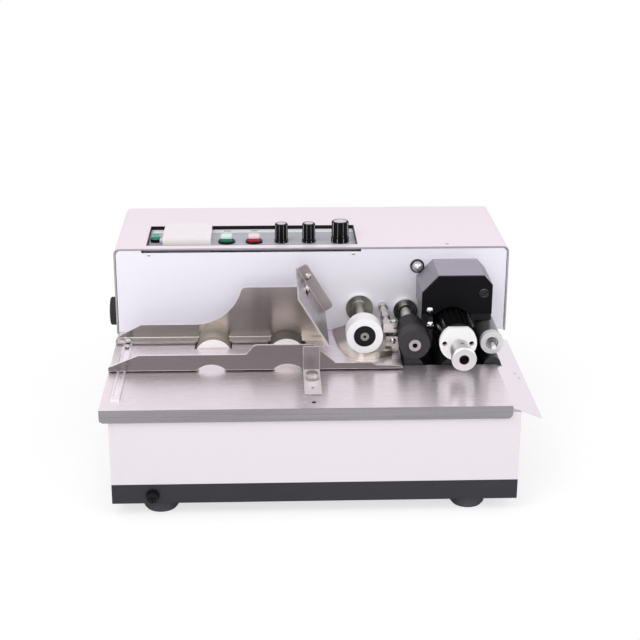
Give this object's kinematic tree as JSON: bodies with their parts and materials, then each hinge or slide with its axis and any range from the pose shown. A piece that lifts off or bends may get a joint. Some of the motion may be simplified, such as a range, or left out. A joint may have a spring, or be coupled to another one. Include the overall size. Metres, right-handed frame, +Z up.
{
  "type": "batch coding machine",
  "caption": "Desk-top electric batch coder with a feed table, stack guides, separator wheel, roller pairs, grooved print drum with a hot ink head, and a control panel on its cabinet",
  "frame": {"origin": "on the floor, under the middle of the bounding box", "axes": "+X along the paper's way to the right, +Y from the feed table back to the cabinet, +Z up"},
  "size_m": [0.3936, 0.337, 0.2064],
  "materials": {
    "foot_rubber": "matte",
    "plinth_paint": "matte",
    "case_steel": "satin",
    "table_steel": "brushed",
    "guide_steel": "brushed",
    "frame_alloy": "satin",
    "panel_plate": "satin",
    "black_plastic": "satin",
    "counter_ivory": "satin",
    "counter_clear": "clear",
    "pot_metal": "satin",
    "screw_steel": "bright",
    "ink_black": "satin",
    "ink_felt": "matte",
    "bearing_steel": "satin",
    "bright_steel": "bright",
    "motor_metal": "satin",
    "belt_rubber": "matte",
    "board_green": "satin",
    "button_green": "gloss",
    "button_red": "gloss",
    "reset_blue": "gloss",
    "side_grip": "matte",
    "shaft_steel": "satin",
    "feed_tyre": "matte",
    "white_tyre": "matte",
    "roller_rubber": "matte",
    "counter_steel": "satin",
    "drum_black": "anodised",
    "cap_white": "satin",
    "ring_grey": "matte"
  },
  "bodies": {
    "machine": {"rubber_feet": "foot_rubber", "base_plinth": "plinth_paint", "base_shell": "case_steel", "table_plate": "table_steel", "guide_rail": "table_steel", "exit_chute": "table_steel", "cabinet_cover": "case_steel", "front_panel": "case_steel", "rear_panel": "case_steel", "inner_frame": "frame_alloy", "control_panel": "panel_plate", "panel_surround": "black_plastic", "button_bezels": "black_plastic", "counter_body": "counter_ivory", "counter_window": "counter_clear", "potentiometers": "pot_metal", "machine_screws": "screw_steel", "fuse_holder": "black_plastic", "power_inlet": "black_plastic", "ink_housing": "ink_black", "shaft_bearings": "bearing_steel", "paper_guide": "guide_steel", "separator_adjuster": "bright_steel", "head_bracket": "ink_black", "drive_motor": "motor_metal", "drive_belts": "belt_rubber", "circuit_board": "board_green"},
    "rocker": {"power_rocker": "button_green"},
    "start": {"start_button": "button_green"},
    "stop": {"stop_button": "button_red"},
    "reset": {"counter_reset": "reset_blue"},
    "speed": {"speed_knob": "black_plastic"},
    "delay": {"delay_knob": "black_plastic"},
    "heat": {"heat_knob": "black_plastic"},
    "side_knob": {"side_knob": "side_grip"},
    "feed_left": {"feed_shaft_left": "shaft_steel", "feed_wheel_left": "feed_tyre"},
    "feed_right": {"feed_shaft_right": "shaft_steel", "feed_wheel_right": "feed_tyre"},
    "separator": {"separator_shaft": "shaft_steel", "separator_hub": "black_plastic", "separator_tyre": "white_tyre"},
    "transport": {"transport_shaft": "shaft_steel", "transport_rubber": "roller_rubber"},
    "transport_counter": {"transport_counter": "counter_steel"},
    "print": {"print_drum": "drum_black", "print_end_cap": "cap_white", "print_knob": "bright_steel"},
    "impression": {"impression_roller": "counter_steel"},
    "ink_roll": {"ink_roll": "ink_felt"},
    "output": {"output_ring": "ring_grey", "output_shaft": "counter_steel"},
    "output_counter": {"output_counter": "counter_steel"},
    "rear_guide": {"rear_guide": "guide_steel", "rear_guide_screws": "screw_steel"},
    "stop_plate": {"stack_stop": "guide_steel"},
    "front_guide": {"front_guide": "guide_steel", "guide_bracket": "guide_steel"},
    "thumbscrew": {"guide_thumbscrew": "screw_steel"},
    "ink_cover": {"ink_cover": "ink_black"}
  },
  "joints": [
    {"name": "impression_spin", "type": "hinge", "parent": "machine", "child": "impression", "pos_m": [0.1334, -0.0255, 0.0927], "axis": [0, 1, 0], "continuous": true},
    {"name": "print_spin", "type": "hinge", "parent": "machine", "child": "print", "pos_m": [0.1334, -0.0255, 0.1274], "axis": [0, 1, 0], "continuous": true},
    {"name": "ink_roll_spin", "type": "hinge", "parent": "machine", "child": "ink_roll", "pos_m": [0.1304, -0.0055, 0.15825], "axis": [0, 1, 0], "continuous": true},
    {"name": "transport_spin", "type": "hinge", "parent": "machine", "child": "transport", "pos_m": [0.0939, -0.0255, 0.1244], "axis": [0, 1, 0], "continuous": true},
    {"name": "transport_counter_spin", "type": "hinge", "parent": "machine", "child": "transport_counter", "pos_m": [0.0939, -0.0255, 0.1009], "axis": [0, 1, 0], "continuous": true},
    {"name": "output_spin", "type": "hinge", "parent": "machine", "child": "output", "pos_m": [0.1674, -0.0255, 0.121], "axis": [0, 1, 0], "continuous": true},
    {"name": "output_counter_spin", "type": "hinge", "parent": "machine", "child": "output_counter", "pos_m": [0.1674, -0.0255, 0.1019], "axis": [0, 1, 0], "continuous": true},
    {"name": "feed_left_spin", "type": "hinge", "parent": "machine", "child": "feed_left", "pos_m": [-0.09356, -0.0055, 0.0938], "axis": [0, 1, 0], "continuous": true},
    {"name": "feed_right_spin", "type": "hinge", "parent": "machine", "child": "feed_right", "pos_m": [-0.02356, -0.0055, 0.0938], "axis": [0, 1, 0], "continuous": true},
    {"name": "separator_spin", "type": "hinge", "parent": "machine", "child": "separator", "pos_m": [0.0487, -0.0255, 0.1272], "axis": [0, 1, 0], "continuous": true},
    {"name": "rocker_tilt", "type": "hinge", "parent": "machine", "child": "rocker", "pos_m": [-0.1506, 0.0595, 0.1878], "axis": [1, 0, 0], "range_deg": [-20, 0]},
    {"name": "start_press", "type": "slide", "parent": "machine", "child": "start", "axis": [0, 0, -1], "range_m": [0, 0.002], "stiffness_N_per_m": 200},
    {"name": "stop_press", "type": "slide", "parent": "machine", "child": "stop", "axis": [0, 0, -1], "range_m": [0, 0.002], "stiffness_N_per_m": 200},
    {"name": "reset_press", "type": "slide", "parent": "machine", "child": "reset", "axis": [1, 0, 0], "range_m": [0, 0.0006], "stiffness_N_per_m": 200},
    {"name": "speed_turn", "type": "hinge", "parent": "machine", "child": "speed", "pos_m": [-0.0271, 0.055, 0.1934], "axis": [0, 0, 1], "range_deg": [-150, 150]},
    {"name": "delay_turn", "type": "hinge", "parent": "machine", "child": "delay", "pos_m": [-0.00008, 0.055, 0.1934], "axis": [0, 0, 1], "range_deg": [-150, 150]},
    {"name": "heat_turn", "type": "hinge", "parent": "machine", "child": "heat", "pos_m": [0.03088, 0.055, 0.1934], "axis": [0, 0, 1], "range_deg": [-150, 150]},
    {"name": "side_knob_turn", "type": "hinge", "parent": "machine", "child": "side_knob", "pos_m": [-0.1936, 0.0455, 0.118], "axis": [1, 0, 0], "continuous": true},
    {"name": "rear_guide_slide", "type": "slide", "parent": "machine", "child": "rear_guide", "axis": [0, 1, 0], "range_m": [0, 0.01]},
    {"name": "stop_slide", "type": "slide", "parent": "rear_guide", "child": "stop_plate", "axis": [0, 1, 0], "range_m": [-0.008, 0.008]},
    {"name": "front_guide_slide", "type": "slide", "parent": "machine", "child": "front_guide", "axis": [0, 1, 0], "range_m": [-0.03, 0]},
    {"name": "thumbscrew_turn", "type": "hinge", "parent": "front_guide", "child": "thumbscrew", "pos_m": [-0.00176, -0.1035, 0.107], "axis": [0, 0, 1], "continuous": true},
    {"name": "ink_cover_swing", "type": "hinge", "parent": "machine", "child": "ink_cover", "pos_m": [0.1629, -0.0285, 0.1592], "axis": [0, 1, 0], "range_deg": [0, 100]}
  ],
  "couplings": [
    {"joint": "print_spin", "follows": "impression_spin", "ratio": -1},
    {"joint": "ink_roll_spin", "follows": "impression_spin", "ratio": 1.2741},
    {"joint": "transport_spin", "follows": "impression_spin", "ratio": -1.2113},
    {"joint": "transport_counter_spin", "follows": "impression_spin", "ratio": 1.9111},
    {"joint": "output_spin", "follows": "impression_spin", "ratio": -1.5926},
    {"joint": "output_counter_spin", "follows": "impression_spin", "ratio": 2.15},
    {"joint": "feed_left_spin", "follows": "impression_spin", "ratio": 0.94505},
    {"joint": "feed_right_spin", "follows": "impression_spin", "ratio": 0.94505}
  ]
}
